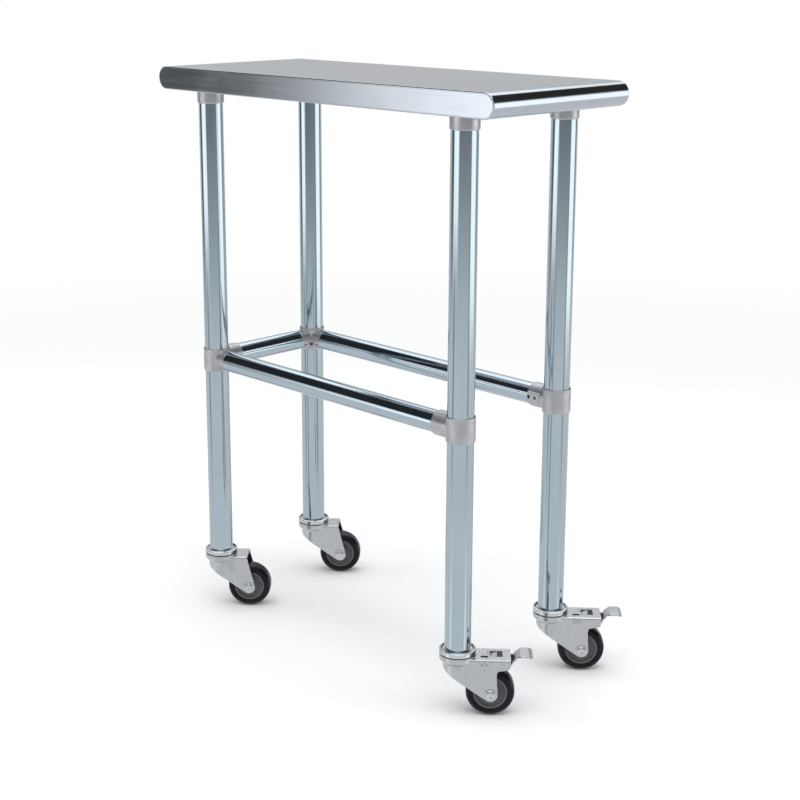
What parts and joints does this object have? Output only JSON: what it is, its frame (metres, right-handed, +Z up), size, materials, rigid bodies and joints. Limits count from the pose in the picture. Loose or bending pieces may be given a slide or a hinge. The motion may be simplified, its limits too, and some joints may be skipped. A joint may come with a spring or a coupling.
{
  "type": "stainless work table",
  "caption": "Narrow stainless work table with half-round ends, tube legs joined by rails on three sides, and swivel casters, two with foot brakes.",
  "frame": {"origin": "on the floor, under the middle of the worktop", "axes": "+Z up, +X along the table towards the end without a rail (the braked casters), +Y across the table from the front long side to the rear one"},
  "size_m": [0.7688, 0.3565, 0.965],
  "materials": {
    "stainless": "bright-satin stainless sheet with a fine lengthwise grain",
    "galvanised": "smooth bright galvanised tube, faintly blue, glossy",
    "die_cast": "fine matt die-cast skin",
    "zinc_plate": "zinc-plated pressed steel with a fine speckle",
    "screw_steel": "dark hardened steel",
    "hub_plastic": "matt moulded grey",
    "tyre_rubber": "matt near-black rubber",
    "expander_rubber": "matt black rubber"
  },
  "bodies": {
    "frame": {"worktop": "stainless", "front_channel": "galvanised", "rear_channel": "galvanised", "front_rail": "galvanised", "rear_rail": "galvanised", "left_rail": "galvanised", "front_left_leg_socket": "die_cast", "front_left_leg": "galvanised", "front_left_rail_fitting": "die_cast", "front_left_clamp_screw": "screw_steel", "front_left_caster_cap": "zinc_plate", "front_left_caster_stem": "zinc_plate", "front_left_stem_expander": "expander_rubber", "front_right_leg_socket": "die_cast", "front_right_leg": "galvanised", "front_right_rail_fitting": "die_cast", "front_right_clamp_screw": "screw_steel", "front_right_caster_cap": "zinc_plate", "front_right_caster_stem": "zinc_plate", "front_right_stem_expander": "expander_rubber", "rear_left_leg_socket": "die_cast", "rear_left_leg": "galvanised", "rear_left_rail_fitting": "die_cast", "rear_left_clamp_screw": "screw_steel", "rear_left_caster_cap": "zinc_plate", "rear_left_caster_stem": "zinc_plate", "rear_left_stem_expander": "expander_rubber", "rear_right_leg_socket": "die_cast", "rear_right_leg": "galvanised", "rear_right_rail_fitting": "die_cast", "rear_right_clamp_screw": "screw_steel", "rear_right_caster_cap": "zinc_plate", "rear_right_caster_stem": "zinc_plate", "rear_right_stem_expander": "expander_rubber"},
    "front_left_swivel": {"front_left_fork": "zinc_plate", "front_left_axle": "zinc_plate", "front_left_axle_bush": "zinc_plate"},
    "front_left_wheel": {"front_left_hub": "hub_plastic", "front_left_tyre": "tyre_rubber"},
    "front_right_swivel": {"front_right_fork": "zinc_plate", "front_right_axle": "zinc_plate", "front_right_axle_bush": "zinc_plate", "front_right_brake_rivet": "zinc_plate", "front_right_brake_spring": "screw_steel"},
    "front_right_wheel": {"front_right_hub": "hub_plastic", "front_right_tyre": "tyre_rubber"},
    "front_right_brake": {"front_right_brake_pedal": "zinc_plate"},
    "rear_left_swivel": {"rear_left_fork": "zinc_plate", "rear_left_axle": "zinc_plate", "rear_left_axle_bush": "zinc_plate"},
    "rear_left_wheel": {"rear_left_hub": "hub_plastic", "rear_left_tyre": "tyre_rubber"},
    "rear_right_swivel": {"rear_right_fork": "zinc_plate", "rear_right_axle": "zinc_plate", "rear_right_axle_bush": "zinc_plate", "rear_right_brake_rivet": "zinc_plate", "rear_right_brake_spring": "screw_steel"},
    "rear_right_wheel": {"rear_right_hub": "hub_plastic", "rear_right_tyre": "tyre_rubber"},
    "rear_right_brake": {"rear_right_brake_pedal": "zinc_plate"}
  },
  "joints": [
    {"name": "front_left_swivel_turn", "type": "hinge", "parent": "frame", "child": "front_left_swivel", "pos_m": [-0.291, -0.1122, 0.0985], "axis": [0, 0, 1], "continuous": true},
    {"name": "front_left_wheel_spin", "type": "hinge", "parent": "front_left_swivel", "child": "front_left_wheel", "pos_m": [-0.2537, -0.07742, 0.0381], "axis": [-0.682, 0.7314, 0], "continuous": true},
    {"name": "front_right_swivel_turn", "type": "hinge", "parent": "frame", "child": "front_right_swivel", "pos_m": [0.291, -0.1122, 0.0985], "axis": [0, 0, 1], "continuous": true},
    {"name": "front_right_wheel_spin", "type": "hinge", "parent": "front_right_swivel", "child": "front_right_wheel", "pos_m": [0.3283, -0.07742, 0.0381], "axis": [-0.682, 0.7314, 0], "continuous": true},
    {"name": "front_right_brake_press", "type": "hinge", "parent": "front_right_swivel", "child": "front_right_brake", "pos_m": [0.32135, -0.0839, 0.084], "axis": [-0.682, 0.7314, 0], "range_deg": [0, 12]},
    {"name": "rear_left_swivel_turn", "type": "hinge", "parent": "frame", "child": "rear_left_swivel", "pos_m": [-0.291, 0.1122, 0.0985], "axis": [0, 0, 1], "continuous": true},
    {"name": "rear_left_wheel_spin", "type": "hinge", "parent": "rear_left_swivel", "child": "rear_left_wheel", "pos_m": [-0.2537, 0.14698, 0.0381], "axis": [-0.682, 0.7314, 0], "continuous": true},
    {"name": "rear_right_swivel_turn", "type": "hinge", "parent": "frame", "child": "rear_right_swivel", "pos_m": [0.291, 0.1122, 0.0985], "axis": [0, 0, 1], "continuous": true},
    {"name": "rear_right_wheel_spin", "type": "hinge", "parent": "rear_right_swivel", "child": "rear_right_wheel", "pos_m": [0.3283, 0.14698, 0.0381], "axis": [-0.682, 0.7314, 0], "continuous": true},
    {"name": "rear_right_brake_press", "type": "hinge", "parent": "rear_right_swivel", "child": "rear_right_brake", "pos_m": [0.32135, 0.1405, 0.084], "axis": [-0.682, 0.7314, 0], "range_deg": [0, 12]}
  ]
}
